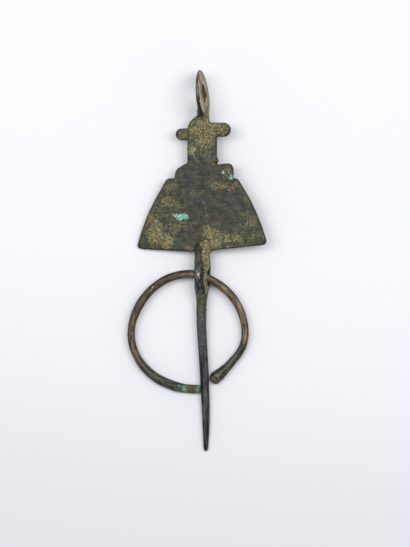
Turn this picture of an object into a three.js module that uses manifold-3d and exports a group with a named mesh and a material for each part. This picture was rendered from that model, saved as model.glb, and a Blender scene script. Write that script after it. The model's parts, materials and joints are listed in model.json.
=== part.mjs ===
// A cast bronze fibula brooch, lying on a flat surface as it comes to rest.
// It is two pieces: a flat plate in the shape of a robed figure, cast in one with a
// suspension loop, an eye and a pin, and an open ring of round wire that runs through the eye.
// Millimetres. +Z is up, +Y runs from the pin's tip to the loop, +X is the figure's right on the page.
// The origin is on the surface, below the middle of the whole brooch.

import * as THREE from "three";
import { mergeVertices } from "three/addons/utils/BufferGeometryUtils.js";
import Module from "manifold-3d";

// The plate. Heights are measured up from the middle of the hem.
const plateThickness = 1.6;
const plateEdgeRound = 0.35;

const skirtHeight = 19;
const skirtTopHalfWidth = 9.4;
const skirtSideBulge = 1.3;
const hemLeftReach = 17.75;
const hemRightReach = 17.3;
const hemCornerRound = 1.6;
const hemLeftLift = 0.45;
const hemRightLift = 1.65;
const hemSag = 0.4;
const hemSagAside = 2;

const stepHalfWidth = 7.3;
const stepHeight = 21.2;
const stepRound = 1.6;
const stepSlope = 2;

const lobeHalfWidth = 8.3;
const lobeInnerEdge = 4.8;
const lobeHeight = 23.3;
const lobeSlope = 0.6;
const lobeRound = 2.3;

const headHeight = 36.2;
const headTopLeftReach = 0.45;
const headTopRightReach = 1.8;
const headLeftHalfWidth = 3.25;
const headRightHalfWidth = 2.05;
const neckHalfWidth = 3.9;
const leftArmReach = 7;
const leftArmWidth = 3.1;
const rightArmReach = 7.6;
const rightArmWidth = 3.7;

// How far below the top of the head its left corner is, the place where its left side starts
// to lean in, and the middles of the two arms.
const headCornerDrop = 2.3;
const headLeanDrop = 4.2;
const leftArmDrop = 5.65;
const rightArmDrop = 4.45;

// The rounding of small corners, and how far the shoulders and the neck run into the skirt.
const smallRound = 0.8;
const sink = 3;

// The suspension loop: a thick washer, standing on edge at the head, a little twisted. It is
// worn thin at its top: there it is thinner than the mean by the taper, and at its foot thicker.
const loopRadius = 6.2;
const loopBore = 2.3;
const loopThickness = 1.1;
const loopEdgeRound = 0.3;
const loopSink = 1.1;
const loopTwist = 5.5;
const loopLean = 1.5;
const loopAside = 0.05;
const loopTaper = 0.5;

// The loop's foot: an oval swelling that joins it to the head, measured from the head's top.
const footRise = 0.4;
const footHalfLength = 2.2;
const footHalfWidth = 1.6;
const footAside = 0.25;
const footHalfDepth = 2;

// The stem rises as a rib from the back of the plate, swells into the eye and becomes the pin.
// Its distances are measured down from the hem.
const ribLength = 7;
const ribEndHalfWidth = 0.7;
const stemHalfWidth = 2.05;
const pinLength = 53;
const pinHalfWidth = 1.42;
const pinShankHalf = 1.12;
const pinPointLength = 14;
const pinTipHalf = 0.6;
const pinTipRound = 1;

const eyeDrop = 6.8;
const eyeBore = 2.35;
const eyeMouthFlare = 0.4;
const eyeWall = 1.4;
const eyeHalfWidth = 2.15;
const eyeRise = 0.8;
const eyeReachUp = 11;
const eyeReachDown = 7.2;

// How far the pin is bent to the side, at a few distances down from the hem.
const pinBend = [
  [-ribLength, 0],
  [eyeDrop, 0],
  [14, -0.4],
  [21, -0.4],
  [28, 0],
  [36, 0.35],
  [45, 0.62],
  [pinLength, 0.55],
];

// The open ring: an arc, a short tight bend and a straight run to the knob. The pin lies in
// the gap between its two ends. Angles are counted round the ring's centre, from +X.
// The wire lies a little off the middle of the eye, towards the plate.
const wireRadius = 1.1;
const ringRadius = 15.05;
const ringEyeAngle = 75.5;
const ringBendStart = -15;
const ringBendRadius = 5;
const ringBendAngle = 31;
const wireShift = 0.15;

const endRadius = 1.4;
const endFlareLength = 5;
const endRound = 0.8;
const knobRadius = 1.6;
const knobFlareLength = 4.5;
const knobRound = 1;
const knobGrooveDepth = 0.28;
const knobGrooveWidth = 0.45;
const knobGrooveFromEnd = 1.3;

// Clearances: the wire above the lower edges of the eye, and the ring's ends beside the pin.
const wireClearance = 0.3;
const pinClearance = 0.35;

// Sections of rods: an oval has a boxiness of 2, and more is squarer.
const stemSides = 16;
const stemSteps = 48;
const stemBoxiness = 2.6;
const wireSides = 12;
const wireSteps = 60;
const wireBoxiness = 2.3;
const endSteps = 3;
const knobSteps = 8;

const degrees = Math.PI / 180;
const up = new THREE.Vector3(0, 0, 1);

const wasm = await Module();
wasm.setup();

// A three.js geometry as a manifold-3d solid, without the empty triangles where a lathe's
// profile meets its axis.
function solidFrom(geometry) {
  const bare = geometry.clone();
  bare.deleteAttribute("normal");
  bare.deleteAttribute("uv");
  const merged = mergeVertices(bare, 1e-4);
  const corners = merged.index.array;
  const kept = [];
  for (let i = 0; i < corners.length; i += 3) {
    const triangle = corners.slice(i, i + 3);
    if (new Set(triangle).size === 3) kept.push(...triangle);
  }
  return new wasm.Manifold(
    new wasm.Mesh({
      numProp: 3,
      vertProperties: merged.attributes.position.array,
      triVerts: new Uint32Array(kept),
    }),
  );
}

function geometryFrom(solid) {
  const mesh = solid.getMesh();
  return new THREE.BufferGeometry()
    .setAttribute("position", new THREE.BufferAttribute(new Float32Array(mesh.vertProperties), 3))
    .setIndex(new THREE.BufferAttribute(new Uint32Array(mesh.triVerts), 1));
}

// A closed outline through corners [x, y, round], each rounded off by a curve that starts
// and ends `round` away from the corner. Where a side is too short for the rounds at its two
// ends, they share it.
function roundedOutline(corners) {
  const points = corners.map(([x, y]) => new THREE.Vector2(x, y));
  const shape = new THREE.Shape();
  points.forEach((corner, i) => {
    const last = (i + points.length - 1) % points.length;
    const next = (i + 1) % points.length;
    const [before, after] = [points[last], points[next]];
    const wanted = corners[i][2];
    const shareOf = (side, other) => (side * wanted) / (wanted + other);
    const round = Math.min(
      wanted,
      shareOf(corner.distanceTo(before), corners[last][2]),
      shareOf(corner.distanceTo(after), corners[next][2]),
    );
    const enter = corner.clone().add(before.clone().sub(corner).setLength(round));
    const leave = corner.clone().add(after.clone().sub(corner).setLength(round));
    if (i === 0) shape.moveTo(enter.x, enter.y);
    else shape.lineTo(enter.x, enter.y);
    shape.quadraticCurveTo(corner.x, corner.y, leave.x, leave.y);
  });
  shape.closePath();
  return shape;
}

// A piece of the plate: an outline as thick as the plate, with its edges rounded.
function slab(outline) {
  const geometry = new THREE.ExtrudeGeometry(outline, {
    depth: plateThickness - 2 * plateEdgeRound,
    bevelThickness: plateEdgeRound,
    bevelSize: plateEdgeRound,
    bevelOffset: -plateEdgeRound,
    bevelSegments: 2,
    curveSegments: 6,
  });
  return geometry.translate(0, 0, plateEdgeRound - plateThickness / 2);
}

// The skirt flares to the hem. Its sides bulge, and the hem rises from near the pin to its corners.
function skirt() {
  const sideX = (hemReach) => (skirtTopHalfWidth + hemReach) / 2 + skirtSideBulge;
  const sideY = skirtHeight / 2;
  const sideRound = skirtHeight / 3;
  return slab(
    roundedOutline([
      [-hemSagAside, -hemSag, smallRound],
      [hemRightReach, hemRightLift, hemCornerRound],
      [sideX(hemRightReach), sideY + hemRightLift / 2, sideRound],
      [skirtTopHalfWidth, skirtHeight, smallRound],
      [-skirtTopHalfWidth, skirtHeight, smallRound],
      [-sideX(hemLeftReach), sideY + hemLeftLift / 2, sideRound],
      [-hemLeftReach, hemLeftLift, hemCornerRound],
    ]),
  );
}

// The shoulders: a step on the left, sloping up to the neck, and a rounded lobe on the right.
function leftShoulder() {
  return slab(
    roundedOutline([
      [neckHalfWidth, skirtHeight - sink, smallRound],
      [neckHalfWidth, stepHeight + stepSlope, smallRound],
      [-neckHalfWidth, stepHeight + stepSlope, smallRound],
      [-stepHalfWidth, stepHeight, stepRound],
      [-stepHalfWidth, skirtHeight - sink, smallRound],
    ]),
  );
}

function rightShoulder() {
  return slab(
    roundedOutline([
      [lobeHalfWidth, skirtHeight - sink, smallRound],
      [lobeHalfWidth, lobeHeight, lobeRound],
      [lobeInnerEdge, lobeHeight - lobeSlope, smallRound],
      [0, lobeHeight - 2 * lobeSlope, smallRound],
      [0, skirtHeight - sink, smallRound],
    ]),
  );
}

function neckAndHead() {
  return slab(
    roundedOutline([
      [neckHalfWidth, skirtHeight - sink, smallRound],
      [neckHalfWidth, headHeight - rightArmDrop, smallRound],
      [headRightHalfWidth, headHeight - rightArmDrop, smallRound],
      [headTopRightReach, headHeight, smallRound],
      [-headTopLeftReach, headHeight, smallRound],
      [-headLeftHalfWidth, headHeight - headCornerDrop, smallRound],
      [-neckHalfWidth, headHeight - headLeanDrop, smallRound],
      [-neckHalfWidth, skirtHeight - sink, smallRound],
    ]),
  );
}

// A short arm with a round end, reaching out from the neck on one side (1 right, -1 left).
function arm(side, reach, width, drop) {
  const half = width / 2;
  const height = headHeight - drop;
  const outline = new THREE.Shape();
  const endX = side * (reach - half);
  outline.moveTo(0, height - half);
  outline.lineTo(endX, height - half);
  outline.absarc(endX, height, half, -90 * degrees, 90 * degrees, side < 0);
  outline.lineTo(0, height + half);
  outline.closePath();
  return slab(outline);
}

// The loop's own axis is the figure's X, turned a little because the loop is twisted.
const loopHeight = headHeight - loopSink + loopRadius;

function suspensionLoop() {
  const half = loopThickness / 2;
  const round = loopEdgeRound;
  const profile = [
    [loopBore, -half + round],
    [loopBore + round, -half],
    [loopRadius - round, -half],
    [loopRadius, -half + round],
    [loopRadius, half - round],
    [loopRadius - round, half],
    [loopBore + round, half],
    [loopBore, half - round],
    [loopBore, -half + round],
  ].map(([r, z]) => new THREE.Vector2(r, z));
  const washer = new THREE.LatheGeometry(profile, 40).rotateZ(-90 * degrees);
  const position = washer.attributes.position;
  for (let i = 0; i < position.count; i += 1) {
    position.setX(i, position.getX(i) * (1 - (loopTaper * position.getY(i)) / loopRadius));
  }
  return washer
    .rotateY(-loopLean * degrees)
    .rotateZ(loopTwist * degrees)
    .translate(loopAside, loopHeight, 0);
}

function loopFoot() {
  return new THREE.SphereGeometry(1, 20, 12)
    .scale(footHalfWidth, footHalfLength, footHalfDepth)
    .translate(footAside, headHeight + footRise, 0);
}

// A rod along a curve: a cylinder whose rings are moved to stations from 0 to 1 along the curve.
// halfSizes(t) gives the section's half width and half depth, and the depth runs along `deep`.
function rod(pointAt, deep, stations, sides, boxiness, halfSizes) {
  const geometry = new THREE.CylinderGeometry(1, 1, 1, sides, stations.length - 1);
  const position = geometry.attributes.position;
  const squared = (v) => Math.sign(v) * Math.abs(v) ** (2 / boxiness);
  const step = 1e-3;
  for (let i = 0; i < position.count; i += 1) {
    const t = stations[Math.round((0.5 - position.getY(i)) * (stations.length - 1))];
    const along = pointAt(Math.min(t + step, 1)).sub(pointAt(Math.max(t - step, 0)));
    const wide = new THREE.Vector3().crossVectors(deep, along).normalize();
    const [halfWidth, halfDepth] = halfSizes(t);
    const place = pointAt(t)
      .addScaledVector(wide, squared(position.getX(i)) * halfWidth)
      .addScaledVector(deep, squared(position.getZ(i)) * halfDepth);
    position.setXYZ(i, place.x, place.y, place.z);
  }
  return geometry;
}

// 1 at the middle of a swelling and 0 at its ends.
function swell(distance, reach) {
  return Math.abs(distance) < reach ? Math.cos((distance / reach) * 90 * degrees) ** 2 : 0;
}

const smooth = (t) => t * t * (3 - 2 * t);
const mix = (a, b, t) => a + (b - a) * t;

const pinLine = new THREE.CatmullRomCurve3(
  pinBend.map(([drop, aside]) => new THREE.Vector3(aside, -drop, 0)),
);
const stemTotal = pinLength + ribLength;
const dropAt = (t) => t * stemTotal - ribLength;

// How much of the eye's swelling the stem has at a distance down from the hem.
function eyeSwell(drop) {
  return swell(drop - eyeDrop, drop < eyeDrop ? eyeReachUp : eyeReachDown);
}

// The stem's half width at a distance down from the hem.
function stemWidthAt(drop) {
  const pointStart = pinLength - pinPointLength;
  if (drop < 0) return mix(stemHalfWidth, ribEndHalfWidth, smooth(-drop / ribLength));
  if (drop < eyeDrop) return mix(stemHalfWidth, eyeHalfWidth, drop / eyeDrop);
  if (drop > pointStart) {
    return mix(pinShankHalf, pinTipHalf, ((drop - pointStart) / pinPointLength) ** 1.4);
  }
  const shank = mix(pinHalfWidth, pinShankHalf, (drop - eyeDrop) / (pointStart - eyeDrop));
  return mix(shank, eyeHalfWidth, eyeSwell(drop));
}

// The heights of the stem's back and front, measured from the middle of the plate.
function stemHeightsAt(drop) {
  const plain = drop < 0 ? plateThickness / 2 : Math.min(stemWidthAt(drop), pinHalfWidth);
  const sunk = plateThickness / 2 - plateEdgeRound;
  const below = drop < eyeDrop ? mix(sunk, plain, Math.max(0, drop) / eyeDrop) : plain;
  const reach = eyeBore + eyeWall;
  const swelling = eyeSwell(drop);
  return [mix(plain, eyeRise + reach, swelling), mix(-below, eyeRise - reach, swelling ** 2)];
}

// Half width and half depth of the stem, blunt at the pin's tip.
function stemHalfSizes(drop) {
  const [back, front] = stemHeightsAt(drop);
  const fromTip = Math.min(1, (pinLength - drop) / pinTipRound);
  const blunt = Math.sqrt(Math.max(0.15, 1 - (1 - fromTip) ** 2));
  return [stemWidthAt(drop) * blunt, ((back - front) / 2) * blunt];
}

// The bend's curve is even in its own parameter between the listed points, not in distance.
function bendParameter(drop) {
  const last = pinBend.length - 1;
  let i = 0;
  while (i < last - 1 && drop > pinBend[i + 1][0]) i += 1;
  const [from, to] = [pinBend[i][0], pinBend[i + 1][0]];
  return (i + Math.min(1, Math.max(0, (drop - from) / (to - from)))) / last;
}

function stemPoint(t) {
  const drop = dropAt(t);
  const [back, front] = stemHeightsAt(drop);
  return pinLine.getPoint(bendParameter(drop)).setZ((back + front) / 2);
}

function stem() {
  const stations = [];
  const blunt = pinTipRound / stemTotal;
  for (let i = 0; i < stemSteps; i += 1) stations.push((i / stemSteps) * (1 - blunt));
  for (let i = 0; i <= endSteps; i += 1) stations.push(1 - blunt * (1 - i / endSteps));
  return rod(stemPoint, up, stations, stemSides, stemBoxiness, (t) => stemHalfSizes(dropAt(t)));
}

// The bore through the eye, wider at both mouths.
function eyeBoreTool() {
  const reach = eyeHalfWidth + 1;
  const straight = eyeHalfWidth * 0.5;
  const profile = [
    [0, -reach],
    [eyeBore + 2 * eyeMouthFlare, -reach],
    [eyeBore, -straight],
    [eyeBore, straight],
    [eyeBore + 2 * eyeMouthFlare, reach],
    [0, reach],
  ].map(([r, z]) => new THREE.Vector2(r, z));
  return new THREE.LatheGeometry(profile, 28).rotateZ(-90 * degrees).translate(0, -eyeDrop, eyeRise);
}

const plateParts = [
  skirt(),
  leftShoulder(),
  rightShoulder(),
  neckAndHead(),
  arm(-1, leftArmReach, leftArmWidth, leftArmDrop),
  arm(1, rightArmReach, rightArmWidth, rightArmDrop),
];
const loopPart = suspensionLoop();
const stemPart = stem();

function casting() {
  let solid = solidFrom(loopPart);
  for (const part of [...plateParts, loopFoot(), stemPart]) solid = solid.add(solidFrom(part));
  return geometryFrom(solid.subtract(solidFrom(eyeBoreTool())));
}

function verticesOf(geometry) {
  const position = geometry.attributes.position;
  const vertices = [];
  for (let i = 0; i < position.count; i += 1) {
    vertices.push(new THREE.Vector3().fromBufferAttribute(position, i));
  }
  return vertices;
}

// The vertex with the least value of `measure`.
function least(vertices, measure) {
  return vertices.reduce((best, vertex) => (measure(vertex) < measure(best) ? vertex : best));
}

// The casting lies on the rim of its loop, on the left corner of its hem and on its stem, at
// the pin's tip unless the eye reaches lower: a plane through the first two feet turns up
// about the line between them until it meets the stem.
function restPose() {
  const above = up.clone();
  const loopVertices = verticesOf(loopPart);
  const hemVertices = verticesOf(plateParts[0]).filter((vertex) => vertex.x < 0);
  const stemVertices = verticesOf(stemPart);
  let rimFoot;
  for (let round = 0; round < 12; round += 1) {
    rimFoot = least(loopVertices, (vertex) => vertex.dot(above));
    const hemFoot = least(hemVertices, (vertex) => vertex.dot(above));
    const along = hemFoot.clone().sub(rimFoot).normalize();
    const level = above.clone().addScaledVector(along, -above.dot(along)).normalize();
    const outward = new THREE.Vector3().crossVectors(level, along);
    const slope = (vertex) => {
      const reach = vertex.clone().sub(rimFoot);
      return reach.dot(outward) > 1 ? reach.dot(level) / reach.dot(outward) : Infinity;
    };
    const stemFoot = least(stemVertices, slope);
    above.crossVectors(stemFoot.clone().sub(rimFoot), along).normalize();
    if (above.z < 0) above.negate();
  }
  return {
    turn: new THREE.Quaternion().setFromUnitVectors(above, up),
    height: -rimFoot.dot(above),
  };
}

const pose = restPose();

function placed(x, y, z) {
  const point = new THREE.Vector3(x, y, z).applyQuaternion(pose.turn);
  point.z += pose.height;
  return point;
}

// The wire hangs in the eye, just above the lower edge of the eye's lower mouth.
const eyeCentre = placed(0, wireShift - eyeDrop, eyeRise);
const eyeAxis = new THREE.Vector3(1, 0, 0).applyQuaternion(pose.turn);
const mouthRise = eyeHalfWidth * Math.abs(eyeAxis.z);
const wireHeight = eyeCentre.z - eyeBore + mouthRise + wireRadius + wireClearance;

// The pin's two sides where it crosses the ring, counted from the eye.
const crossingDrop = eyeDrop + ringRadius * (1 + Math.sin(ringEyeAngle * degrees));
const crossing = stemPoint((crossingDrop + ribLength) / stemTotal);
const pinMiddle = placed(crossing.x, crossing.y, crossing.z).x - eyeCentre.x;
const pinHalf = stemWidthAt(crossingDrop);

// How far a blunt round end reaches beyond the middle of its face, along X, when the wire
// runs at an angle to X.
function endReach(radius, round, heading) {
  return (radius - round) * Math.abs(Math.sin(heading)) + round * (1 - Math.abs(Math.cos(heading)));
}

// The ring's centreline, flat, from the end on the left of the pin round to the knob on its right.
// Its origin is where the wire passes through the eye. It stops short of the pin's two sides.
function ringLine(pinLeft, pinRight) {
  const eye = new THREE.Vector2(Math.cos(ringEyeAngle * degrees), Math.sin(ringEyeAngle * degrees));
  const centre = eye.multiplyScalar(-ringRadius);
  const line = new THREE.Path();

  const almost = Math.acos((pinLeft - pinClearance - centre.x) / ringRadius);
  const endX = pinLeft - pinClearance - endReach(endRadius, endRound, Math.PI / 2 - almost);
  const start = -Math.acos((endX - centre.x) / ringRadius);
  const bend = ringBendStart * degrees - 2 * Math.PI;
  line.absarc(centre.x, centre.y, ringRadius, start, bend, true);

  const bendCentre = new THREE.Vector2(Math.cos(bend), Math.sin(bend))
    .multiplyScalar(ringRadius - ringBendRadius)
    .add(centre);
  const bendEnd = bend - ringBendAngle * degrees;
  line.absarc(bendCentre.x, bendCentre.y, ringBendRadius, bend, bendEnd, true);

  const heading = bendEnd - Math.PI / 2;
  const from = line.currentPoint.clone();
  const knobX = pinRight + pinClearance + endReach(knobRadius, knobRound, heading);
  const run = (knobX - from.x) / Math.cos(heading);
  line.lineTo(knobX, from.y + run * Math.sin(heading));
  return line;
}

const ringPath = ringLine(pinMiddle - pinHalf, pinMiddle + pinHalf);
const ringLength = ringPath.getLength();

// The wire's radius at a distance along the ring.
function wireRadiusAt(distance) {
  const fromKnobEnd = ringLength - distance;
  let radius = wireRadius;
  radius += (endRadius - wireRadius) * smooth(Math.max(0, 1 - distance / endFlareLength));
  radius += (knobRadius - wireRadius) * smooth(Math.max(0, 1 - fromKnobEnd / knobFlareLength));
  radius -= knobGrooveDepth * swell(fromKnobEnd - knobGrooveFromEnd, knobGrooveWidth);
  const rounded = (gap, round) => Math.sqrt(Math.max(0.1, 1 - (1 - Math.min(1, gap / round)) ** 2));
  return radius * rounded(distance, endRound) * rounded(fromKnobEnd, knobRound);
}

function openRing() {
  const stations = [];
  const endZone = endRound / ringLength;
  const knobZone = (knobGrooveFromEnd + knobGrooveWidth) / ringLength;
  for (let i = 0; i < endSteps; i += 1) stations.push((endZone * i) / endSteps);
  for (let i = 0; i < wireSteps; i += 1) stations.push(mix(endZone, 1 - knobZone, i / wireSteps));
  for (let i = 0; i <= knobSteps; i += 1) stations.push(1 - knobZone * (1 - i / knobSteps));
  const pointAt = (t) => {
    const flat = ringPath.getPointAt(t);
    return new THREE.Vector3(flat.x, flat.y, 0);
  };
  return rod(pointAt, up, stations, wireSides, wireBoxiness, (t) => {
    const radius = wireRadiusAt(t * ringLength);
    return [radius, radius];
  });
}

const bronze = new THREE.MeshStandardMaterial({ color: 0x4a4a39, roughness: 0.62, metalness: 0.6 });
const wireBronze = new THREE.MeshStandardMaterial({ color: 0x5d4c38, roughness: 0.5, metalness: 0.7 });

const plateAndPin = new THREE.Mesh(casting(), bronze);
plateAndPin.name = "plate_and_pin";
plateAndPin.quaternion.copy(pose.turn);
plateAndPin.position.z = pose.height;

// The ring's far end lies on the surface.
const ring = new THREE.Mesh(openRing(), wireBronze);
ring.name = "open_ring";
ring.position.set(eyeCentre.x, eyeCentre.y, wireHeight);
ring.rotation.x = Math.asin((wireHeight - endRadius) / -ringPath.getPointAt(0).y);

// The origin goes to the middle of the underside of the whole brooch.
const brooch = new THREE.Group();
brooch.add(plateAndPin, ring);
const box = new THREE.Box3().setFromObject(brooch, true);
const middle = box.getCenter(new THREE.Vector3());
brooch.position.set(-middle.x, -middle.y, -box.min.z);

export default brooch;
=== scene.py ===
"""A cast bronze ring fibula from the ground, lying on a pale surface, seen from straight above.

The casting (plate, loop, eye and pin in one) and the open ring of wire are fine meshes over the
two solids. Shapes are worked out in millimetres and stored in metres.
"""
import json
import math

import bpy
import numpy as np
from mathutils import Matrix, Vector, kdtree, noise


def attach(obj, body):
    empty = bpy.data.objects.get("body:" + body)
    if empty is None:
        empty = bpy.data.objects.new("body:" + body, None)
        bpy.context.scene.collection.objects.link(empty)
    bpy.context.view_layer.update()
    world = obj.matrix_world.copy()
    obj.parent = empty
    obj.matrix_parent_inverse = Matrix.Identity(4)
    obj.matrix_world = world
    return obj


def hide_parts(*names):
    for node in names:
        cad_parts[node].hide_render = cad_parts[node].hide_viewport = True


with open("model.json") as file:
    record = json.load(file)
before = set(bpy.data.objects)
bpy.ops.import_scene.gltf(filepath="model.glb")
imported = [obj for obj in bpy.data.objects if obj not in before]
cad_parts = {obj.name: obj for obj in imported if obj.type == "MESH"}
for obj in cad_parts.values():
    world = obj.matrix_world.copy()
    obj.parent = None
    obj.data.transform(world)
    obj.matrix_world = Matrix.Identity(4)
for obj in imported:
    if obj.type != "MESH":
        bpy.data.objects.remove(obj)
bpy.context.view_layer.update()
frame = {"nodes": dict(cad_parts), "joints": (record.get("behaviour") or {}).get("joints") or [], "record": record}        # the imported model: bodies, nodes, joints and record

MM = 0.001
scene = bpy.context.scene
record = frame["record"]

# The image's height in pixels, and in millimetres the size of a pixel on the surface, the place
# in the middle of the image, how far up the camera is and the longer side of its sensor.
IMAGE_HEIGHT = 547
PIXEL = 0.264
VIEW_MIDDLE = (2.22, -3.25)
CAMERA_HEIGHT = 900
SENSOR = 36

# The lights: a pair at the sides and one overhead, with their places and sizes in millimetres
# and their watts, and how bright the pale room is.
SIDE_LIGHT_PLACE = (260, 80, 620)
SIDE_LIGHT_SIZE = (200, 320)
SIDE_LIGHT = 1.06
TOP_LIGHT_PLACE = (0, 160, 720)
TOP_LIGHT_SIZE = (500, 300)
TOP_LIGHT = 1.46
ROOM_LIGHT = 0.42

# Half the width of the card that the brooch lies on, and where along y its painted shade goes from
# grey to white.
SURFACE_HALF = 700
GREY_TO_WHITE = (-85, 10)

# How fine the two meshes are, in millimetres.
CASTING_GRAIN = 0.176
WIRE_STEP = 0.17
WIRE_SIDES = 56


# Colours and nodes

def colour(hex_value):
    """An sRGB hex value such as "8a7c50" as linear red, green, blue and alpha."""
    parts = [int(hex_value[i:i + 2], 16) / 255 for i in (0, 2, 4)]
    linear = [c / 12.92 if c <= 0.04045 else ((c + 0.055) / 1.055) ** 2.4 for c in parts]
    return (*linear, 1.0)


def add(tree, kind, inputs=None, **settings):
    """Adds a shader node. inputs gives each of its sockets a value or another node's output."""
    node = tree.nodes.new("ShaderNode" + kind)
    for name, value in settings.items():
        setattr(node, name, value)
    for socket, value in (inputs or {}).items():
        if isinstance(value, bpy.types.NodeSocket):
            tree.links.new(value, node.inputs[socket])
        else:
            node.inputs[socket].default_value = value
    return node


# Where a Mix node of colours has its sockets.
UNDER, OVER, MIXED = 6, 7, 2


# Noise and masks on points

def lumps(points, size, seed, octaves=1):
    """Smooth noise from about -1 to 1 at each point, with lumps `size` mm across."""
    shift = Vector((seed * 31.7, seed * 17.3, seed * 11.9))
    values = [noise.fractal(Vector(p) / size + shift, 1, 2, octaves) for p in points]
    return np.array(values)


def smooth(low, high, values):
    """0 below low, 1 above high and an even curve between them."""
    share = np.clip((values - low) / (high - low), 0, 1)
    return share * share * (3 - 2 * share)


def span(values, start, full, still_full, end):
    """1 from full to still_full, 0 before start and after end, and even curves between."""
    return smooth(start, full, values) * smooth(end, still_full, values)


def patches(places, spots, ragged):
    """How much of a deposit each point has, from oval spots (x, y, half length, half width,
    turn in degrees, amount). `ragged` is noise that breaks up their outlines."""
    cover = np.zeros(len(places))
    for x, y, half_length, half_width, turn, amount in spots:
        angle = math.radians(turn)
        right, up = places[:, 0] - x, places[:, 1] - y
        along = (right * math.cos(angle) + up * math.sin(angle)) / half_length
        aside = (up * math.cos(angle) - right * math.sin(angle)) / half_width
        reach = np.sqrt(along * along + aside * aside) + ragged
        cover = np.maximum(cover, amount * (1 - smooth(0.3, 1.4, reach)))
    return cover


def store(mesh, name, values):
    """Keeps a number for each point of a mesh, for its material."""
    attribute = mesh.attributes.new(name, "FLOAT", "POINT")
    attribute.data.foreach_set("value", values.astype(np.float32))


def read_points(mesh):
    """The places of a mesh's points, one row each."""
    flat = np.empty(len(mesh.vertices) * 3, np.float32)
    mesh.vertices.foreach_get("co", flat)
    return flat.reshape(-1, 3).astype(float)


def read_normals(mesh):
    """The directions in which a mesh's points face, one row each."""
    flat = np.empty(len(mesh.vertices) * 3, np.float32)
    mesh.vertex_normals.foreach_get("vector", flat)
    return flat.reshape(-1, 3).astype(float)


def piece_from(name, mesh, points):
    """The piece for a mesh whose points are given in mm. None of them is below the surface."""
    points = points.copy()
    points[:, 2] = np.maximum(points[:, 2], 0)
    mesh.vertices.foreach_set("co", (points * MM).astype(np.float32).ravel())
    mesh.polygons.foreach_set("use_smooth", [True] * len(mesh.polygons))
    mesh.update()
    piece = bpy.data.objects.new(name, mesh)
    scene.collection.objects.link(piece)
    return piece


# The casting's own directions: x across the plate, y from the pin's tip to the loop, z out of
# the back of the plate. Its origin is in the plate, at the middle of the hem, and the back is
# PLATE_BACK above it. The record's mount on the back is MOUNT_FROM_HEM from the hem.
PLATE_BACK = 0.8
MOUNT_FROM_HEM = 13
mount = next(m for m in record["mounts"] if m["name"] == "plate_back")
hinge = Vector(frame["joints"][0]["pos_m"]) / MM
plate_z = Vector(mount["axis"]).normalized()
mount_place = Vector(mount["pos_m"]) / MM
towards_loop = mount_place - hinge
plate_y = (towards_loop - plate_z * towards_loop.dot(plate_z)).normalized()
plate_x = plate_y.cross(plate_z)
hem_middle = mount_place - PLATE_BACK * plate_z - MOUNT_FROM_HEM * plate_y
PLATE_AXES = np.array([plate_x, plate_y, plate_z])


def in_plate(points):
    """Places in the casting's own directions, from places in the frame."""
    return (points - np.array(hem_middle)) @ PLATE_AXES.T


# The loop, in the casting's own directions: its middle, the radius of its bore, and the
# bore's axis, which is turned a little from the plate's own x.
LOOP_Y = 41.3
LOOP_MIDDLE = np.array([0.05, LOOP_Y, 0])
LOOP_BORE = 2.3
LOOP_TWIST = math.radians(5.5)
LOOP_AXIS = np.array([math.cos(LOOP_TWIST), math.sin(LOOP_TWIST), 0.0])

# Where the loop's finish and the pin's finish begin, and where they are full, along y.
LOOP_FROM = (36.4, 37.4)
PIN_FROM = (1.5, -7)

# The stretches of the casting that have a finish of their own, along y: where each starts,
# is full, is still full and ends.
STEM_SPAN = (-14.5, -10.5, 0, 3.5)
CREST_SPAN = (-15, -10, 0, 4)
BELOW_EYE_SPAN = (-21, -13, -12, -9.3)
UPPER_PIN_SPAN = (-31, -25, -19, -14)
KHAKI_FOOT_SPAN = (33.9, 34.8, 39, 41.5)
DARK_FOOT_SPAN = (34.7, 35.6, 38.4, 40.6)

# How far to each side the loop's foot has its own finish: where that ends and where it is full.
FOOT_SIDES = (2.6, 2.1)

# Seen from above, a line parts the loop's dark left side from its khaki face. Below
# BORDER_BEND it leans to the right on its way down.
BORDER_X = 0.8
BORDER_BEND = 41.6
BORDER_LEAN = 0.28

# Single spots, as in the lists below: the loop's grey left rim with a painted highlight along it,
# the painted grey sheen on the stem and the bluish tint beside it.
LOOP_RIM_SPOT = (-0.2, 42.8, 2.7, 0.5, 90, 0.72)
STEM_SHEEN_SPOT = (-0.8, -4.5, 6.5, 1.3, 90, 0.34)
STEM_TEAL_SPOT = (-0.6, -5, 5.5, 1.6, 90, 0.25)

# The crest of the stem is left of its middle. Right of it the flank slopes, and near its
# left edge a gentler one does.
CREST_X = -0.45
CREST_SLOPE = 0.5
CREST_LEFT_X = -1.35
CREST_LEFT_SLOPE = 0.25

# How high the casting's skin is, in millimetres: wide swells, mottling and grit, how deep its
# pits are, and how high the earth and the green corrosion are, with the grains on each.
SWELL = 0.04
SKIN_MOTTLE = 0.016
SKIN_GRIT = 0.01
PIT_DEPTH = 0.05
EARTH, EARTH_GRAIN = 0.02, 0.04
GREEN, GREEN_GRAIN = 0.05, 0.06

# The worn lip round the loop's hole, and the ridge and hollow inside its lower rim: distance
# from the bore's axis, width and height.
LIP = (LOOP_BORE + 0.6, 0.4, 0.1)
RIM_RIDGE = (5.3, 0.35, 0.14)
RIM_HOLLOW = (4.5, 0.4, -0.14)

# How wide the painted shade along the plate's edges is, in millimetres.
EDGE_SHADE_WIDTH = 0.45

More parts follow.
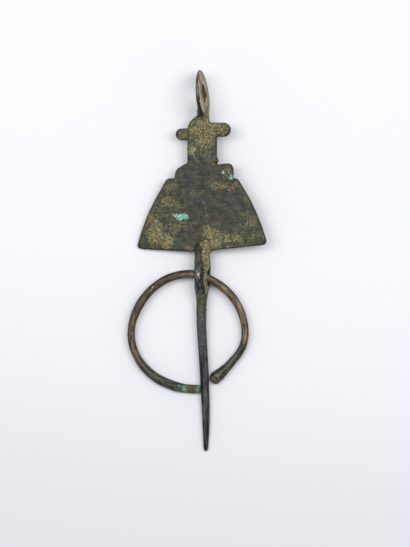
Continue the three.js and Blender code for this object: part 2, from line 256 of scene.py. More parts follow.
# Lumps and hollows of the back: x, y, radius and height. One of EDGE_BUMP or more swells the
# edge too.
EDGE_BUMP = 0.2
BUMPS = [
    (4.1, 23.7, 0.7, 0.45),
    (2.1, 0.2, 1.0, 0.3),
    (-3.6, 0.4, 0.8, 0.12),
    (8.2, 18.2, 1.1, 0.12),
    (-10.5, 4.6, 2.2, 0.14),
    (-12.8, 8.6, 1.6, 0.1),
    (2.8, 3.6, 1.8, 0.14),
    (0.4, 15.0, 2.4, -0.1),
    (-3.5, 9.5, 2.6, -0.09),
    (6.5, 8.5, 3.2, -0.08),
    (-1.5, 22.8, 1.6, -0.08),
    (0.6, 31.0, 1.8, 0.12),
]

# Spots of earthy ochre crust: x, y, half length, half width, turn in degrees, amount.
OCHRE_SPOTS = [
    (-8.35, 17.0, 2.3, 1.7, 60, 0.42),
    (-8.8, 12.7, 3.0, 1.7, -15, 0.54),
    (-6.3, 11.5, 2.0, 1.3, -30, 0.42),
    (-13.6, 8.6, 2.2, 1.0, 65, 0.62),
    (-12.4, 5.4, 3.1, 2.4, 60, 0.8),
    (-9.1, 2.5, 2.6, 2.0, 80, 0.9),
    (-11.6, 3.1, 3.2, 1.6, 0, 0.85),
    (-7.2, 5.4, 2.6, 1.4, 30, 0.5),
    (-5.3, 7.0, 2.2, 0.9, 10, 0.42),
    (2.4, 4.8, 2.8, 2.6, 100, 0.74),
    (2.9, 2.0, 3.4, 1.7, 5, 0.85),
    (6.4, 3.3, 3.4, 1.7, 10, 0.72),
    (9.3, 3.2, 2.2, 1.5, 20, 0.66),
    (12.9, 7.3, 2.3, 1.4, 25, 0.55),
    (13.2, 3.7, 2.0, 1.5, 0, 0.5),
    (4.6, 17.2, 3.6, 1.3, -8, 0.55),
    (-2.0, 15.4, 3.4, 1.0, 5, 0.36),
    (-9.3, 18.6, 1.1, 0.8, 0, 0.5),
    (7.0, 21.4, 1.5, 1.0, 60, 0.42),
    (0, 31.4, 6.0, 5.2, 90, 0.74),
    (0.3, 27.8, 4.4, 3.2, 0, 0.46),
    (0.2, 25.4, 4.0, 2.2, 0, 0.24),
    (-10.5, 9.0, 9.0, 6.0, 60, 0.28),
    (12.2, 7.0, 7.5, 4.0, 115, 0.3),
    (6.5, 20.5, 3.0, 3.0, 0, 0.3),
    (-2.5, 33.6, 1.6, 1.2, 50, 0.62),
    (0.3, 35.4, 2.4, 1.1, 0, 0.7),
    (4.4, 32.6, 2.3, 1.2, 0, 0.98),
    (5.4, 31.6, 2.6, 2.0, 0, 0.62),
    (-5.4, 30.2, 2.0, 1.6, 0, 0.5),
    (-2.4, 26.4, 1.7, 1.3, 60, 0.85),
    (0.2, 28.3, 3.4, 1.3, 0, 0.72),
    (2.6, 29.0, 1.2, 3.0, 0, 0.6),
    (2.6, 25.2, 1.2, 1.8, 0, 0.45),
    (-1.8, 24.2, 1.8, 0.9, 0, 0.3),
]

# Green corrosion, reddish stains and painted highlights, as the ochre ones.
GREEN_SPOTS = [
    (-5.6, 8.95, 2.4, 1.1, -12, 0.9),
    (-7.5, 9.5, 0.8, 0.6, 0, 0.62),
    (7.8, 19.4, 0.8, 0.65, 0, 0.95),
    (5.6, 20.5, 0.5, 0.45, 0, 0.62),
    (6.6, 20.0, 1.7, 1.4, 20, 0.42),
    (12.1, 10.2, 0.4, 0.4, 0, 0.6),
    (-8.6, 7.1, 0.5, 0.4, 0, 0.45),
    (-0.4, -36.5, 0.9, 0.4, 90, 0.45),
]
RED_SPOTS = [
    (8.6, 17.3, 1.3, 1.0, 70, 0.95),
    (6.9, 16.1, 1.3, 0.4, 0, 0.5),
    (-13.9, 8.2, 1.8, 0.8, 65, 0.8),
    (3.3, 23.6, 1.7, 0.8, 75, 0.95),
    (13.2, 7.9, 1.1, 0.8, 0, 0.75),
    (-3.5, 0.8, 1.5, 0.7, 0, 0.7),
    (11.7, 13.6, 2.6, 0.7, 105, 0.5),
    (-3.4, 30.3, 1.0, 0.8, 0, 0.55),
    (-9.6, 2.0, 1.6, 0.7, 80, 0.7),
    (4.0, 33.0, 1.4, 0.5, 0, 0.5),
    (-10.9, 12.6, 0.6, 0.5, 0, 0.5),
    (0.9, -37.0, 2.4, 0.7, 90, 0.44),
]
PAINTED_HIGHLIGHT_SPOTS = [
    (-0.45, -6.0, 0.85, 0.2, -50, 1.1),
    (-0.35, -5.9, 0.65, 0.2, 60, 1.0),
    (-0.8, -5.2, 0.35, 0.2, -40, 0.9),
    (0, -6.9, 0.4, 0.2, -60, 0.9),
    (0.8, -1.4, 0.25, 0.2, 0, 0.9),
    (5.65, 20.9, 0.28, 0.28, 0, 1.0),
    (0.3, 12.3, 1.3, 0.17, 66, 0.66),
    (0.95, 11.1, 0.9, 0.17, 70, 0.62),
    (1.2, 9.7, 1.1, 0.16, 90, 0.66),
    (-0.1, 13.4, 0.7, 0.16, 55, 0.5),
    (-15.0, 2.6, 0.9, 0.1, -8, 0.6),
    (-5.6, 19.9, 0.3, 0.2, 30, 0.7),
    (-4.9, 20.1, 0.35, 0.12, 60, 0.6),
]


def near_edge(points, on_edge):
    """1 at the points on an edge, down to 0 at EDGE_SHADE_WIDTH away from them."""
    tree = kdtree.KDTree(int(on_edge.sum()))
    for i, place in enumerate(points[on_edge]):
        tree.insert(place, i)
    tree.balance()
    gaps = np.array([tree.find(place)[2] for place in points])
    return smooth(EDGE_SHADE_WIDTH, 0.05, gaps)


def deposit_masks(points, local, facing, mottle, ragged):
    """Ochre crust, green corrosion, reddish stains, painted highlights and the pin's bluish tint.
    """
    x, y, z = local.T
    on_loop = smooth(*LOOP_FROM, y)
    on_pin = smooth(*PIN_FROM, y)
    ochre = patches(local, OCHRE_SPOTS, ragged) * (1 - on_loop) * (1 - on_pin)

    # The front, which nobody sees here, has a thin even crust in its lows.
    front = smooth(0.2, 0.8, -facing[:, 2])
    thin = 0.5 * smooth(-0.1, 0.6, lumps(points, 5, seed=4, octaves=3))
    ochre = np.where(front > 0.5, thin, ochre)

    # The right flank of the stem is crusted too, from further right the nearer to the pin,
    # and thinly the pin just below the eye.
    crust_from = 0.1 + 0.9 * smooth(-0.5, -4.5, y) + 0.3 * smooth(-9.5, -12, y)
    right_flank = smooth(crust_from - 0.4, crust_from + 0.3, x + 0.2 * mottle)
    stem_crust = span(y, *STEM_SPAN) * right_flank * smooth(0.4, 1.2, z)
    below_eye = span(y + mottle, *BELOW_EYE_SPAN)
    upper_pin = span(y + mottle, *UPPER_PIN_SPAN)
    return {
        "ochre": np.maximum.reduce([ochre, 0.95 * stem_crust, 0.36 * below_eye]),
        "green": patches(local, GREEN_SPOTS, 0.7 * ragged) * (1 - front),
        "red": patches(local, RED_SPOTS, ragged) * (1 - front),
        "painted_highlight_and_speck": patches(local, PAINTED_HIGHLIGHT_SPOTS, 0.35 * ragged),
        "teal": np.maximum(0.8 * upper_pin, patches(local, [STEM_TEAL_SPOT], ragged)),
    }


def loop_masks(points, local, face, reach, mottle, ragged):
    """The loop's khaki face and tip, painted shade in its bore, its nearly black foot and its grey
    rim with a painted highlight on the left. `face` is how much each point is on the right face,
    `reach` its distance from the bore's axis."""
    y = local[:, 1]
    on_loop = smooth(*LOOP_FROM, y)
    on_foot = smooth(*FOOT_SIDES, np.abs(local[:, 0]))
    border = BORDER_X + BORDER_LEAN * np.maximum(BORDER_BEND - points[:, 1], 0)
    from_border = points[:, 0] - border + 0.12 * mottle

    # The khaki of the face goes on down the foot's right side to the head.
    upper_face = face * np.maximum(smooth(-0.35, 0.15, from_border), smooth(42.5, 43.8, y))
    tip = on_loop * smooth(44.2, 45.6, y + 0.4 * mottle)
    right_foot = span(y, *KHAKI_FOOT_SPAN) * on_foot * smooth(-0.1, 0.3, from_border)
    beige = np.clip(np.maximum.reduce([upper_face, 0.42 * tip, right_foot]), 0, 1)

    dark_foot = span(y, *DARK_FOOT_SPAN) * on_foot * smooth(0.2, -0.2, from_border)
    lower_rim = face * smooth(4.3, 5.0, reach) * smooth(0.5, -1.5, local[:, 2])
    # The left rim is grey, with a painted highlight along it.
    left_rim = patches(local, [LOOP_RIM_SPOT], 0.4 * ragged) * (1 - face)
    left_rim *= smooth(LOOP_BORE + 1, LOOP_BORE + 2, reach)
    return {
        "beige": beige,
        # The bore's dark brown is painted shade inside the hole.
        "bore": smooth(LOOP_BORE + 0.3, LOOP_BORE - 0.1, reach) * on_loop,
        "dark": dark_foot,
        "grey": np.maximum(lower_rim, left_rim),
    }


def shape_casting(points, normals):
    """Moves the points of the casting's even mesh in and out, as the cast and corroded
    surface is. Returns the new points and the masks for its material."""
    local = in_plate(points)
    x, y, z = local.T
    facing = normals @ PLATE_AXES.T
    on_loop = smooth(*LOOP_FROM, y)
    on_pin = smooth(*PIN_FROM, y)
    plate = 1 - np.maximum(on_loop, on_pin)
    from_loop = local - LOOP_MIDDLE
    reach = np.linalg.norm(from_loop - np.outer(from_loop @ LOOP_AXIS, LOOP_AXIS), axis=1)
    face = on_loop * smooth(0.55, 0.9, facing @ LOOP_AXIS)

    mottle = lumps(points, 1.5, seed=2, octaves=3)
    grit = lumps(points, 0.6, seed=3, octaves=2)
    ragged = 0.34 * mottle + 0.3 * grit
    masks = deposit_masks(points, local, facing, mottle, ragged)
    masks.update(loop_masks(points, local, face, reach, mottle, ragged))
    masks["ochre"] = masks["ochre"] * (1 - masks["dark"])
    # Painted grey sheen on the stem.
    masks["grey"] = np.maximum(masks["grey"], patches(local, [STEM_SHEEN_SPOT], ragged))
    masks["pin"] = on_pin

    # The plate's thin edges get a band of painted shade, less than half a millimetre wide, but not
    # at the foot of the loop, where the surface is as steep as an edge.
    edge = near_edge(points, np.abs(facing[:, 2]) < 0.75) * plate * (y > -0.6)
    edge *= np.clip(0.75 + 0.9 * lumps(points, 4, seed=8, octaves=2), 0.25, 1)
    masks["edge"] = edge * (1 - smooth(33.6, 34.4, y) * smooth(*FOOT_SIDES, np.abs(x)))

    # The casting's uneven skin, its pits, and the deposits that stand up from it.
    rise = SWELL * lumps(points, 6, seed=5, octaves=2) + SKIN_MOTTLE * mottle + SKIN_GRIT * grit
    pits = lumps(points, 1.1, seed=7, octaves=2)
    rise -= PIT_DEPTH * smooth(0.5, 0.8, pits) * (0.3 + 0.7 * plate)
    crusted = smooth(0.1, 0.9, masks["ochre"])
    rise += crusted * (EARTH + EARTH_GRAIN * smooth(-0.3, 0.6, grit))
    rise += masks["green"] * (GREEN + GREEN_GRAIN * smooth(-0.3, 0.5, grit))
    back = smooth(0.2, 0.8, facing[:, 2])
    for bump_x, bump_y, radius, height in BUMPS:
        gap = ((x - bump_x) ** 2 + (y - bump_y) ** 2) / radius ** 2
        rise += height * np.exp(-gap) * (back if height < EDGE_BUMP else 1)

    # The loop's face has a worn lip round the hole and a low ridge inside its lower rim.
    lower_half = smooth(LOOP_Y + 1.5, LOOP_Y - 1.5, y)
    for form, share in ((LIP, 1), (RIM_RIDGE, lower_half), (RIM_HOLLOW, lower_half)):
        form_reach, width, height = form
        rise += face * share * height * np.exp(-((reach - form_reach) / width) ** 2)

    # The crest of the stem.
    crest = span(y, *CREST_SPAN) * back
    fall = CREST_SLOPE * np.maximum(x - CREST_X, 0)
    fall += CREST_LEFT_SLOPE * np.maximum(CREST_LEFT_X - x, 0)
    moved = points + normals * rise[:, None]
    moved -= np.outer(crest * fall * smooth(0.8, 3, z), PLATE_AXES[2])
    return moved, masks


def make_casting():
    """The casting: the solid's own form in even squares, then its surface in and out."""
    node = frame["nodes"]["plate_and_pin"]
    source = bpy.data.objects.new("casting_form", node.data.copy())
    source.data.transform(Matrix.Scale(1 / MM, 4))
    scene.collection.objects.link(source)
    even = source.modifiers.new("even", "REMESH")
    even.mode = "VOXEL"
    even.voxel_size = CASTING_GRAIN
    soften = source.modifiers.new("soften", "SMOOTH")
    soften.factor = 0.5
    soften.iterations = 3
    graph = bpy.context.evaluated_depsgraph_get()
    mesh = bpy.data.meshes.new_from_object(source.evaluated_get(graph))
    bpy.data.objects.remove(source)
    mesh.materials.clear()
    points, masks = shape_casting(read_points(mesh), read_normals(mesh))
    for name, values in masks.items():
        store(mesh, name, values)
    return piece_from("bronze_casting", mesh, points)


# The ring, seen from above: its distance from its middle at angles from +X, from the end on
# the left of the pin round to the knob. Between them the line is worked out every RING_STEP
# and evened out over RING_EVEN to each side, both in degrees. It slopes from the eye down to
# the surface.
RING_MIDDLE = (-2.2, -18.4)
RING_REACH = [
    (-78.3, 15.62),
    (-90, 15.2),
    (-110, 14.88),
    (-130, 14.94),
    (-150, 15.06),
    (-165, 15.14),
    (-178, 15.02),
    (-190, 14.84),
    (-205, 14.51),
    (-220, 14.48),
    (-240, 14.67),
    (-250, 14.85),
    (-262, 14.97),
    (-274, 15.06),
    (-285, 14.97),
    (-296, 14.7),
    (-310, 14.63),
    (-330, 14.71),
    (-350, 14.84),
    (-363, 15.01),
    (-375, 14.96),
    (-385, 14.53),
    (-394, 14.07),
    (-405, 13.94),
    (-413, 14.05),
    (-426, 14.45),
]
RING_STEP = 0.5
RING_EVEN = 5

# The wire's radius at distances from the left end, and from the knob's end, and over what
# length each end is rounded off. There, points are set at END_POINTS from the end, and the
# even ones stay CLEAR_OF_END of it.
WIRE_RADII = [
    (0, 1.12), (1.9, 1.13), (4, 1.15), (6.1, 1.26), (10.3, 1.26), (12.6, 1.21), (16.6, 1.12),
    (18.6, 1.03), (20.6, 0.99), (29.6, 1.0), (31.6, 1.1), (34.6, 1.14), (37.6, 1.1),
    (45.6, 1.06), (60.6, 1.09), (67.6, 1.01), (75.6, 0.95), (78.6, 0.98), (84.6, 1.02),
]
KNOB_RADII = [(0, 1.5), (1.1, 1.66), (2.3, 1.62), (4, 1.34), (6, 1.12), (8, 1.02), (10, 0.95)]
END_ROUND = 0.3
KNOB_ROUND = 1.5
END_POINTS = (0, 0.01, 0.03, 0.06, 0.1)
CLEAR_OF_END = 0.14

# The knob's groove: how far it is from the end, how far it slants, how wide and how deep.
GROOVE_FROM_END = 1.5
GROOVE_SLANT = 0.55
GROOVE_WIDTH = 0.26
GROOVE_DEPTH = 0.22

# How much longer than wide the wire's streaks are, and how high they, wider swells, the skin
# and the crust at the left end are, in millimetres.
STREAK_STRETCH = 9
STREAK_HEIGHT = 0.035
WIRE_SWELL = 0.03
WIRE_SKIN = 0.012
WIRE_CRUST = 0.05

# The green and rusty stretches near the left end, as the spans above but along the wire, and
# how dull the ring is at distances from that end.
RING_GREEN_SPAN = (2.5, 3.6, 4.2, 8.2)
RING_RUST_SPAN = (0.7, 1.8, 2.8, 3.8)
RING_DULL = [(0, 0.8), (30, 0.8), (36, 1.15), (48, 1.1), (54, 0)]

# Painted highlights on the ring, the first three pale specks of crust instead: distance from the
# left end (from the knob's end where it is below 0), degrees round the wire from its inner side,
# half length, half width in degrees, amount.
RING_PAINTED_HIGHLIGHTS_AND_SPECKS = [
    (39.9, 104, 0.45, 9, 0.95),
    (39.1, 84, 0.22, 9, 0.9),
    (40.9, 74, 0.2, 8, 0.85),
    (66.1, 118, 2.4, 6, 0.7),
    (68.8, 100, 1.8, 5, 0.65),
    (71.0, 82, 1.4, 5, 0.6),
    (24.1, 96, 2.6, 5, 0.5),
    (-2.1, 118, 0.16, 24, 1.0),
    (-2.6, 98, 0.12, 14, 0.9),
    (-1.2, 70, 0.12, 16, 0.7),
]


def ring_line():
    """Points along the middle of the wire, WIRE_STEP apart, in mm."""
    known = np.array(RING_REACH)
    angles = np.arange(known[0, 0], known[-1, 0], -RING_STEP)
    reach = np.interp(-angles, -known[:, 0], known[:, 1])
    width = int(RING_EVEN / RING_STEP)
    padded = np.pad(reach, width, mode="reflect", reflect_type="odd")
    window = np.hanning(2 * width + 1)
    reach = np.convolve(padded, window / window.sum(), mode="valid")
    turn = np.radians(angles)
    flat = np.column_stack([np.cos(turn) * reach, np.sin(turn) * reach]) + RING_MIDDLE
    steps = np.linalg.norm(np.diff(flat, axis=0), axis=1)
    distance = np.concatenate([[0], np.cumsum(steps)])
    count = int(distance[-1] / WIRE_STEP)
    even = np.linspace(0, distance[-1], count)
    even = even_ends(even, distance[-1])
    line = np.column_stack([np.interp(even, distance, flat[:, i]) for i in (0, 1)])
    end_radius = WIRE_RADII[0][1]
    slope = (hinge.z - end_radius) / (hinge.y - line[0, 1])
    height = hinge.z + (line[:, 1] - hinge.y) * slope
    return np.column_stack([line, height]), even


def even_ends(distances, length):
    """Adds close stations at both ends, where the wire is rounded off."""
    near = np.array(END_POINTS)
    inner = distances[(distances > CLEAR_OF_END) & (distances < length - CLEAR_OF_END)]
    return np.concatenate([near, inner, length - near[::-1]])


def wire_radius(along, length, slant):
    """The wire's radius at a distance along it. slant shifts the knob's groove."""
    from_knob = length - along
    end_known, knob_known = np.array(WIRE_RADII), np.array(KNOB_RADII)
    radius = np.interp(along, end_known[:, 0], end_known[:, 1])
    radius = np.maximum(radius, np.interp(from_knob, knob_known[:, 0], knob_known[:, 1]))
    groove = (from_knob - GROOVE_FROM_END + slant) / GROOVE_WIDTH
    radius = radius - GROOVE_DEPTH * np.exp(-groove ** 2)
    for gap, rounding in ((along, END_ROUND), (from_knob, KNOB_ROUND)):
        inward = np.minimum(gap / rounding, 1)
        radius = radius * np.sqrt(np.maximum(1 - (1 - inward) ** 2.4, 0.02))
    return radius


def ring_masks(along, from_knob, turn, shifted, slant):
    """The deposits of the ring, its painted highlights and painted shade on its flanks and in the
    knob's groove, from the distance along the wire and the turn round it. `shifted` is the
    distance with a ragged outline, `slant` the tilt of the groove."""
    near_end = 0.58 * span(shifted, *RING_GREEN_SPAN)
    at_end = 0.5 * smooth(2.1, 0.9, shifted)
    painted_highlight_and_speck = np.zeros(len(along))
    length = along[0] + from_knob[0]
    for distance, degrees, half_length, half_turn, amount in RING_PAINTED_HIGHLIGHTS_AND_SPECKS:
        gap = along - (distance if distance > 0 else length + distance)
        aside = (np.degrees(turn) - degrees) / half_turn
        painted_highlight_and_speck = np.maximum(painted_highlight_and_speck, amount * np.exp(-(gap / half_length) ** 2 - aside ** 2))
    from_groove = from_knob - GROOVE_FROM_END + slant
    return {
        "green": np.maximum(near_end, at_end),
        "red": 0.8 * span(shifted, *RING_RUST_SPAN),
        "olive": np.maximum(smooth(24.6, 10.6, along), smooth(17, 10, from_knob)),
        "painted_highlight_and_speck": painted_highlight_and_speck,
        # The wire's sides and underside get painted shade, its top none.
        "flank": smooth(0.92, 0.4, np.sin(turn) + 0.16 * np.cos(turn)),
        # The groove's dark colour is painted shade in the crease.
        "groove": np.exp(-(from_groove / (0.9 * GROOVE_WIDTH)) ** 2),
        "facet": smooth(0.1, -0.2, from_groove),
        "dull": np.interp(along, *np.transpose(RING_DULL)),
    }


def wire_mesh(points, rows):
    """A closed mesh over rows of WIRE_SIDES points each. The last two points close its ends."""
    faces = []
    first_end, last_end = len(points) - 2, len(points) - 1
    last_row = (rows - 1) * WIRE_SIDES
    for side in range(WIRE_SIDES):
        beside = (side + 1) % WIRE_SIDES
        for here in range(0, last_row, WIRE_SIDES):
            there = here + WIRE_SIDES
            faces.append((here + side, there + side, there + beside, here + beside))
        faces.append((first_end, side, beside))
        faces.append((last_end, last_row + beside, last_row + side))
    mesh = bpy.data.meshes.new("bronze_ring")
    mesh.from_pydata(points.tolist(), [], faces)
    return mesh


def make_ring():
    """The open ring: a wire swept along its line, with streaks along it, blunt at its left
    end and with a grooved knob at the other."""
    line, stations = ring_line()
    length = stations[-1]
    forward = np.gradient(line, axis=0)
    forward /= np.linalg.norm(forward, axis=1)[:, None]
    across = np.cross(forward, [0, 0, 1])
    across /= np.linalg.norm(across, axis=1)[:, None]
    upward = np.cross(across, forward)

    turn = np.tile(np.arange(WIRE_SIDES) / WIRE_SIDES * 2 * math.pi, len(line))
    along = np.repeat(stations, WIRE_SIDES)
    middle = np.repeat(line, WIRE_SIDES, 0)
    out = np.repeat(across, WIRE_SIDES, 0) * np.cos(turn)[:, None]
    out += np.repeat(upward, WIRE_SIDES, 0) * np.sin(turn)[:, None]
    slant = GROOVE_SLANT * np.cos(turn)
    radius = wire_radius(along, length, slant)

    # A place on the wire squeezed along it, so that noise there makes lengthwise streaks.
    streak_place = np.column_stack([
        1.1 * np.cos(turn), 1.1 * np.sin(turn), along / STREAK_STRETCH,
    ])
    body = span(along, 0, 3, length - 3, length)
    skin = middle + out
    grit = lumps(skin, 0.55, seed=15, octaves=2)
    shifted = along + 0.9 * lumps(skin, 1.2, seed=14, octaves=3)
    rise = STREAK_HEIGHT * body * lumps(streak_place, 0.45, seed=11, octaves=2)
    rise += WIRE_SWELL * lumps(skin, 2.2, seed=12, octaves=2)
    rise += WIRE_SKIN * lumps(skin, 0.6, seed=13, octaves=2)
    rise += WIRE_CRUST * smooth(8.6, 5.6, shifted) * smooth(-0.4, 0.5, grit)

    points = np.vstack([middle + out * (radius + rise)[:, None], line[0], line[-1]])
    mesh = wire_mesh(points, len(line))
    masks = ring_masks(along, length - along, turn, shifted, slant)
    for i, direction in enumerate("xyz"):
        masks["streak_" + direction] = streak_place[:, i]
    at_ends = [0, len(along) - 1]
    for name, values in masks.items():
        store(mesh, name, np.concatenate([values, values[at_ends]]))
    return piece_from("bronze_ring", mesh, points)


# Materials

# Sizes of the patterns in the metal's skin, in millimetres. The cast bronze has clouds,
# mottling, grit, stripes on the loop's face, and marks across the plate and along the pin,
# ten times as long as wide. The wire has streaks, STREAK_STRETCH times as long as wide.
CLOUD = 7
MOTTLE = 1.6
CAST_GRIT = 0.45
FACE_STRIPE = 0.9
PLATE_MARK = 0.7
PIN_MARK = 0.6
WIRE_STREAK = 0.3
WIRE_GRIT = 0.4

# How deep the finest relief is, in millimetres.
CAST_GRIT_DEPTH = 0.09
WIRE_MARK_DEPTH = 0.05

# How far the grit and the mottling together break up the outline of a layer.
BREAK_UP = 0.9


def start_material(name):
    """A new material with its shader, and a node for places on the object in millimetres."""
    material = bpy.data.materials.new(name)
    material.use_nodes = True
    tree = material.node_tree
    tree.nodes.clear()
    shader = add(tree, "BsdfPrincipled")
    add(tree, "OutputMaterial", {"Surface": shader.outputs["BSDF"]})
    place = add(tree, "TexCoord")
    in_mm = add(
        tree, "VectorMath", {0: place.outputs["Object"], "Scale": 1 / MM}, operation="SCALE"
    )
    return material, tree, shader, in_mm.outputs[0]


def stored(tree, name):
    """A mask that is kept on the mesh's points."""
    return add(tree, "Attribute", attribute_name=name).outputs["Fac"]


def blend(tree, value, low, high, under, over, most=1):
    """One colour goes over into another as a value rises from low to high. Each is a hex
    value or another node's output, and `most` is the most of the second that shows."""
    under, over = (colour(c) if isinstance(c, str) else c for c in (under, over))
    share = add(
        tree, "MapRange", {0: value, 1: low, 2: high, 3: 0, 4: most},
        interpolation_type="SMOOTHSTEP",
    )
    mixed = add(
        tree, "Mix", {0: share.outputs[0], UNDER: under, OVER: over}, data_type="RGBA",
    )
    return mixed.outputs[MIXED]


def lay_over(tree, surface, matt, grit, mottle, layers):
    """Lays deposits, painted shade and painted highlights over a surface's colour and roughness,
    each
    over the ones before it: its mask, colour, the mask's value below which the layer is bare and
    above which it covers as much as it does, how much that is, and its roughness."""
    noises = add(tree, "Math", {0: grit.outputs[0], 1: mottle.outputs[0]}, operation="ADD")
    for name, over, low, high, most, rough in layers:
        broken = add(
            tree, "Math", {0: noises.outputs[0], 1: BREAK_UP, 2: stored(tree, name)},
            operation="MULTIPLY_ADD",
        )
        cover = add(
            tree, "MapRange",
            {0: broken.outputs[0], 1: low + BREAK_UP, 2: high + BREAK_UP, 3: 0, 4: most},
            interpolation_type="SMOOTHSTEP",
        )
        surface = add(
            tree, "Mix", {0: cover.outputs[0], UNDER: surface, OVER: over}, data_type="RGBA",
        ).outputs[MIXED]
        matt = add(
            tree, "Mix", {0: cover.outputs[0], 2: matt, 3: rough}, data_type="FLOAT",
        ).outputs[0]
    return surface, matt


def cast_bronze():
    """Leaded bronze, cast and left rough, then long in the ground. The metal shows nowhere: a
    smooth dark olive-grey patina covers it, porous and so with little sheen, under gritty
    ochre earth, powdery green corrosion and a few rusty stains, all quite matt."""
    material, tree, shader, place = start_material("patinated_cast_bronze")
    along_loop = add(tree, "VectorMath", {0: place, 1: (1, 0.22, 0.6)}, operation="MULTIPLY")
    across_plate = add(tree, "VectorMath", {0: place, 1: (0.1, 1, 1)}, operation="MULTIPLY")
    along_pin = add(tree, "VectorMath", {0: place, 1: (1, 0.1, 1)}, operation="MULTIPLY")
    cloud = add(tree, "TexNoise", {"Vector": place, "Scale": 1 / CLOUD, "Detail": 3})
    mottle = add(
        tree, "TexNoise",
        {"Vector": place, "Scale": 1 / MOTTLE, "Detail": 6, "Roughness": 0.62},
    )
    grit = add(
        tree, "TexNoise",
        {"Vector": place, "Scale": 1 / CAST_GRIT, "Detail": 6, "Roughness": 0.8},
    )
    stripes = add(
        tree, "TexNoise",
        {"Vector": along_loop.outputs[0], "Scale": 1 / FACE_STRIPE, "Detail": 3},
    )
    plate_marks = add(
        tree, "TexNoise",
        {"Vector": across_plate.outputs[0], "Scale": 1 / PLATE_MARK, "Detail": 3},
    )
    pin_marks = add(
        tree, "TexNoise", {"Vector": along_pin.outputs[0], "Scale": 1 / PIN_MARK, "Detail": 4},
    )

    def grainy(low, high, dark, light):
        """A colour between two, from grain to grain of the grit."""
        return blend(tree, grit.outputs[0], low, high, dark, light)

    # The patina is greenish or olive in clouds, with pale marks and specks. On the pin it is
    # nearly black.
    greenish = blend(tree, mottle.outputs[0], 0.3, 0.72, "191d1a", "3a4138")
    olive_dark = blend(tree, mottle.outputs[0], 0.3, 0.72, "1d1c15", "43412f")
    patina = blend(tree, cloud.outputs[0], 0.4, 0.6, greenish, olive_dark)
    patina = blend(tree, plate_marks.outputs[0], 0.52, 0.82, patina, "5d5944")
    patina = blend(tree, grit.outputs[0], 0.5, 0.78, patina, "6c6d5c")
    pin_patina = blend(tree, pin_marks.outputs[0], 0.4, 0.64, "0c0c0c", "4a4d4b")
    surface = add(
        tree, "Mix", {0: stored(tree, "pin"), UNDER: patina, OVER: pin_patina},
        data_type="RGBA",
    ).outputs[MIXED]

    # The earth is olive where it is thin and khaki or tan where it is thick, with dark specks
    # between its grains. On the loop's face pale and dark stripes of it change.
    khaki = blend(
        tree, cloud.outputs[0], 0.42, 0.6, grainy(0.4, 0.62, "38392a", "bab589"),
        grainy(0.4, 0.62, "3d3626", "b9a97b"),
    )
    beige = blend(
        tree, stripes.outputs[0], 0.44, 0.58, grainy(0.36, 0.66, "8f8567", "dcd1ae"),
        grainy(0.36, 0.66, "554633", "a08c6e"),
    )
    surface, matt = lay_over(tree, surface, 0.45, grit, mottle, [
        ("teal", grainy(0.4, 0.64, "161b1a", "63726c"), 0.25, 0.9, 0.75, 0.5),
        ("dark", colour("2b2624"), 0.25, 0.9, 0.9, 0.5),
        ("beige", beige, 0.3, 0.85, 0.95, 0.7),
        # Grey: the loop's rim, with a painted highlight on its left side, and a painted sheen on
        # the stem.
        ("grey", grainy(0.34, 0.68, "50534e", "979890"), 0.15, 0.8, 0.8, 0.6),
        # Painted shade inside the loop's hole.
        ("bore", colour("4d4329"), 0.25, 0.7, 0.9, 0.8),
        ("ochre", grainy(0.4, 0.64, "272819", "797a52"), 0.05, 0.6, 0.8, 0.7),
        ("ochre", khaki, 0.22, 1.05, 0.9, 0.85),
        ("red", grainy(0.4, 0.62, "4a3626", "a6845f"), 0.3, 1.0, 0.66, 0.8),
        ("green", grainy(0.41, 0.6, "3f6555", "b5e8d5"), 0.35, 0.75, 0.95, 0.9),
        # Painted shade along the plate's edges.
        ("edge", colour("141310"), 0.3, 1.0, 0.85, 0.5),
        # Painted highlights, where light glints on the casting.
        ("painted_highlight_and_speck", colour("dad8cd"), 0.5, 0.95, 0.72, 0.4),
    ])
    relief = add(
        tree, "Bump",
        {"Height": grit.outputs[0], "Strength": 0.6, "Distance": CAST_GRIT_DEPTH * MM},
    )
    tree.links.new(surface, shader.inputs["Base Color"])
    tree.links.new(matt, shader.inputs["Roughness"])
    tree.links.new(relief.outputs[0], shader.inputs["Normal"])
    shader.inputs["Metallic"].default_value = 0.12
    shader.inputs["Specular IOR Level"].default_value = 0.32
    return material


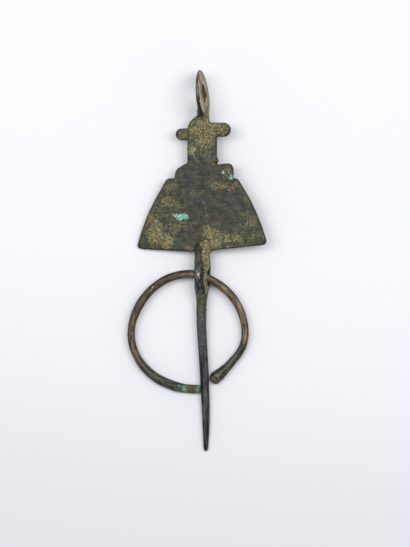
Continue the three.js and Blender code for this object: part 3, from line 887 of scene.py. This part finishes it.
def wire_bronze():
    """Bronze hammered and drawn out to round wire. The brown patina is thin and follows the
    tool marks, so the eye sees fine pale and dark streaks along the wire and a dull gloss."""
    material, tree, shader, place = start_material("patinated_wire_bronze")
    streak_place = add(
        tree, "CombineXYZ",
        {i: stored(tree, "streak_" + direction) for i, direction in enumerate("xyz")},
    )
    streaks = add(
        tree, "TexNoise",
        {
            "Vector": streak_place.outputs[0], "Scale": 1 / WIRE_STREAK,
            "Detail": 3, "Roughness": 0.6,
        },
    )
    mottle = add(tree, "TexNoise", {"Vector": place, "Scale": 1 / MOTTLE, "Detail": 4})
    grit = add(
        tree, "TexNoise",
        {"Vector": place, "Scale": 1 / WIRE_GRIT, "Detail": 5, "Roughness": 0.75},
    )
    brown = blend(tree, streaks.outputs[0], 0.36, 0.66, "231b14", "988369")
    brown = blend(tree, mottle.outputs[0], 0.45, 0.7, brown, "5a5340", 0.6)
    olive = blend(tree, streaks.outputs[0], 0.36, 0.66, "1f211b", "555949")
    rust = blend(tree, grit.outputs[0], 0.44, 0.62, "39331f", "85754e")
    verdigris = blend(tree, grit.outputs[0], 0.44, 0.62, "1f3b2d", "97c8ab")
    surface, matt = lay_over(tree, brown, 0.42, grit, mottle, [
        ("dull", colour("2b241c"), 0.0, 1.2, 0.62, 0.45),
        ("olive", olive, 0.2, 0.8, 0.9, 0.45),
        # Painted shade on the wire's sides.
        ("flank", colour("1f1c18"), 0.3, 1.1, 0.85, 0.5),
        ("facet", colour("5c573c"), 0.35, 0.9, 0.7, 0.6),
        # Painted shade in the knob's groove.
        ("groove", colour("17140e"), 0.4, 0.85, 0.9, 0.8),
        ("red", rust, 0.2, 0.8, 0.9, 0.75),
        ("green", verdigris, 0.25, 0.75, 0.95, 0.85),
        # Painted highlights, and three pale specks of crust near the top of the ring.
        ("painted_highlight_and_speck", colour("c4bda9"), 0.4, 0.95, 0.9, 0.4),
    ])
    depth = WIRE_MARK_DEPTH * MM
    streaked = add(
        tree, "Bump", {"Height": streaks.outputs[0], "Strength": 0.5, "Distance": depth},
    )
    relief = add(
        tree, "Bump",
        {
            "Height": grit.outputs[0], "Strength": 0.3, "Distance": depth,
            "Normal": streaked.outputs[0],
        },
    )
    tree.links.new(surface, shader.inputs["Base Color"])
    tree.links.new(matt, shader.inputs["Roughness"])
    tree.links.new(relief.outputs[0], shader.inputs["Normal"])
    shader.inputs["Metallic"].default_value = 0.3
    shader.inputs["Specular IOR Level"].default_value = 0.4
    return material


def pale_card():
    """Smooth matt card, coated bluish white, without any gloss. It gets a little greyer
    towards the near edge, painted shade where less light falls."""
    material, tree, shader, place = start_material("coated_pale_card")
    from_near_edge = add(
        tree, "VectorMath", {0: place, 1: (0.13, 0.99, 0)}, operation="DOT_PRODUCT",
    )
    card = blend(tree, from_near_edge.outputs["Value"], *GREY_TO_WHITE, "e4e5e9", "f6f6fa")
    tree.links.new(card, shader.inputs["Base Color"])
    shader.inputs["Roughness"].default_value = 0.9
    shader.inputs["Specular IOR Level"].default_value = 0.2
    return material


# The stage: camera, lights and surface

def place_camera():
    """The camera straight above, with a lens that makes a pixel PIXEL wide on the surface."""
    data = bpy.data.cameras.new("camera")
    camera = bpy.data.objects.new("camera", data)
    scene.collection.objects.link(camera)
    data.sensor_width = SENSOR
    data.lens = SENSOR * CAMERA_HEIGHT / (IMAGE_HEIGHT * PIXEL)
    data.clip_start = 0.01
    camera.location = Vector((*VIEW_MIDDLE, CAMERA_HEIGHT)) * MM
    scene.camera = camera


def soft_light(name, place, size, watts):
    """A large even light at a place in mm that faces the brooch."""
    data = bpy.data.lights.new(name, "AREA")
    data.shape = "RECTANGLE"
    data.size, data.size_y = (side * MM for side in size)
    data.energy = watts
    light = bpy.data.objects.new(name, data)
    light.location = Vector(place) * MM
    light.rotation_euler = (-Vector(place)).to_track_quat("-Z", "Y").to_euler()
    scene.collection.objects.link(light)


def light_studio():
    """Two soft lights left and right, a larger one overhead, and a pale bluish room."""
    aside, up, high = SIDE_LIGHT_PLACE
    soft_light("left_light", (-aside, up, high), SIDE_LIGHT_SIZE, SIDE_LIGHT)
    soft_light("right_light", (aside, up, high), SIDE_LIGHT_SIZE, SIDE_LIGHT)
    soft_light("top_light", TOP_LIGHT_PLACE, TOP_LIGHT_SIZE, TOP_LIGHT)
    world = bpy.data.worlds.new("pale_room")
    world.use_nodes = True
    backdrop = world.node_tree.nodes["Background"]
    backdrop.inputs["Color"].default_value = colour("f9faff")
    backdrop.inputs["Strength"].default_value = ROOM_LIGHT
    scene.world = world
    scene.view_settings.view_transform = "Standard"


def lay_surface():
    """The flat pale card that the brooch lies on."""
    mesh = bpy.data.meshes.new("surface")
    half = SURFACE_HALF * MM
    corners = [(-half, -half, 0), (half, -half, 0), (half, half, 0), (-half, half, 0)]
    mesh.from_pydata(corners, [], [(0, 1, 2, 3)])
    surface = bpy.data.objects.new("surface", mesh)
    mesh.materials.append(pale_card())
    scene.collection.objects.link(surface)


place_camera()
light_studio()
lay_surface()

casting = make_casting()
casting.data.materials.append(cast_bronze())
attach(casting, "casting")
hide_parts("plate_and_pin")

ring = make_ring()
ring.data.materials.append(wire_bronze())
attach(ring, "ring")
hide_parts("open_ring")
